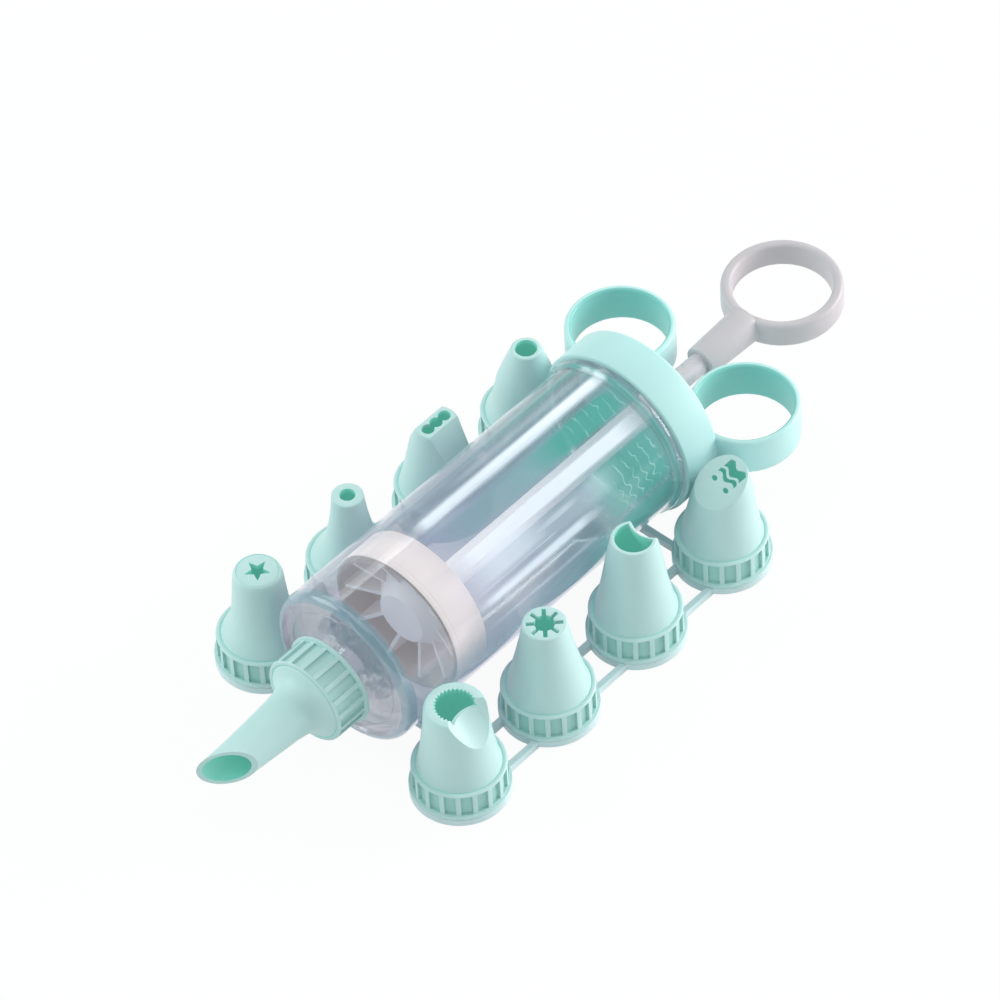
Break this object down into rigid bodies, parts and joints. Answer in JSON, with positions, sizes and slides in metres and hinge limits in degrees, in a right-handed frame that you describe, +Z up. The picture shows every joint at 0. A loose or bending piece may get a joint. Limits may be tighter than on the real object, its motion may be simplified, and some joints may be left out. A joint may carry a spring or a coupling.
{
  "type": "pastry cream pump",
  "caption": "Hand-held pastry cream pump: clear barrel, screw cap with finger rings, plunger with thumb ring, slanted filling nozzle, and piping tips on their rack.",
  "frame": {"origin": "middle of the object's underside, where the rack stands on the table", "axes": "+X along the barrel from the nozzle to the thumb ring, +Z up, +Y towards the row with the star tip"},
  "size_m": [0.258, 0.1036, 0.0547],
  "materials": {
    "mint": "pale mint moulded plastic, soft gloss",
    "mint_cap": "pale mint moulded plastic, soft gloss",
    "clear": "clear blue-grey moulded plastic",
    "white": "off-white moulded plastic",
    "grey": "warm grey moulded plastic",
    "lilac": "grey-lilac moulded plastic",
    "lilac_dark": "darker grey-lilac moulded plastic",
    "washer": "soft pale rubber",
    "steel": "plain steel"
  },
  "bodies": {
    "rack": {"tip_rack": "mint"},
    "pump": {"barrel": "clear"},
    "nozzle_slider": {"spout_washer": "washer"},
    "nozzle": {"filling_nozzle": "mint"},
    "cap_slider": {"cap_washer": "washer"},
    "cap": {"screw_cap": "mint_cap"},
    "piston_seal": {"piston_sleeve": "white"},
    "plunger": {"piston_core": "grey", "piston_screw": "steel", "plunger_rod": "lilac", "handle_pin": "lilac_dark", "thumb_ring": "lilac"},
    "star_tip_body": {"star_tip": "mint"},
    "small_round_tip_body": {"small_round_tip": "mint"},
    "triple_tip_body": {"triple_tip": "mint"},
    "large_round_tip_body": {"large_round_tip": "mint"},
    "serrated_tip_body": {"serrated_tip": "mint"},
    "open_star_tip_body": {"open_star_tip": "mint"},
    "petal_tip_body": {"petal_tip": "mint"},
    "wave_tip_body": {"wave_tip": "mint"}
  },
  "joints": [
    {"name": "pump_lift", "type": "slide", "parent": "rack", "child": "pump", "axis": [0, 0, 1], "range_m": [0, 0.06]},
    {"name": "nozzle_travel", "type": "slide", "parent": "pump", "child": "nozzle_slider", "axis": [-1, 0, 0], "range_m": [0, 0.01]},
    {"name": "nozzle_turn", "type": "hinge", "parent": "nozzle_slider", "child": "nozzle", "pos_m": [0, 0, 0.0275], "axis": [-1, 0, 0], "range_deg": [0, 1440]},
    {"name": "cap_travel", "type": "slide", "parent": "pump", "child": "cap_slider", "axis": [1, 0, 0], "range_m": [0, 0.006]},
    {"name": "cap_turn", "type": "hinge", "parent": "cap_slider", "child": "cap", "pos_m": [0, 0, 0.0275], "axis": [1, 0, 0], "range_deg": [0, 180]},
    {"name": "plunger_slide", "type": "slide", "parent": "pump", "child": "piston_seal", "axis": [1, 0, 0], "range_m": [-0.0174, 0.0905]},
    {"name": "plunger_turn", "type": "hinge", "parent": "piston_seal", "child": "plunger", "pos_m": [0, 0, 0.0275], "axis": [1, 0, 0], "continuous": true},
    {"name": "star_lift", "type": "slide", "parent": "rack", "child": "star_tip_body", "axis": [0, 0.4226, 0.9063], "range_m": [0, 0.045]},
    {"name": "small_round_lift", "type": "slide", "parent": "rack", "child": "small_round_tip_body", "axis": [0, 0.4226, 0.9063], "range_m": [0, 0.045]},
    {"name": "triple_lift", "type": "slide", "parent": "rack", "child": "triple_tip_body", "axis": [0, 0.4226, 0.9063], "range_m": [0, 0.045]},
    {"name": "large_round_lift", "type": "slide", "parent": "rack", "child": "large_round_tip_body", "axis": [0, 0.4226, 0.9063], "range_m": [0, 0.045]},
    {"name": "serrated_lift", "type": "slide", "parent": "rack", "child": "serrated_tip_body", "axis": [0, -0.4226, 0.9063], "range_m": [0, 0.045]},
    {"name": "open_star_lift", "type": "slide", "parent": "rack", "child": "open_star_tip_body", "axis": [0, -0.4226, 0.9063], "range_m": [0, 0.045]},
    {"name": "petal_lift", "type": "slide", "parent": "rack", "child": "petal_tip_body", "axis": [0, -0.4226, 0.9063], "range_m": [0, 0.045]},
    {"name": "wave_lift", "type": "slide", "parent": "rack", "child": "wave_tip_body", "axis": [0, -0.4226, 0.9063], "range_m": [0, 0.045]}
  ],
  "couplings": [
    {"joint": "nozzle_travel", "follows": "nozzle_turn", "m_per_rad": 0.0003975},
    {"joint": "cap_travel", "follows": "cap_turn", "m_per_rad": 0.001909}
  ]
}
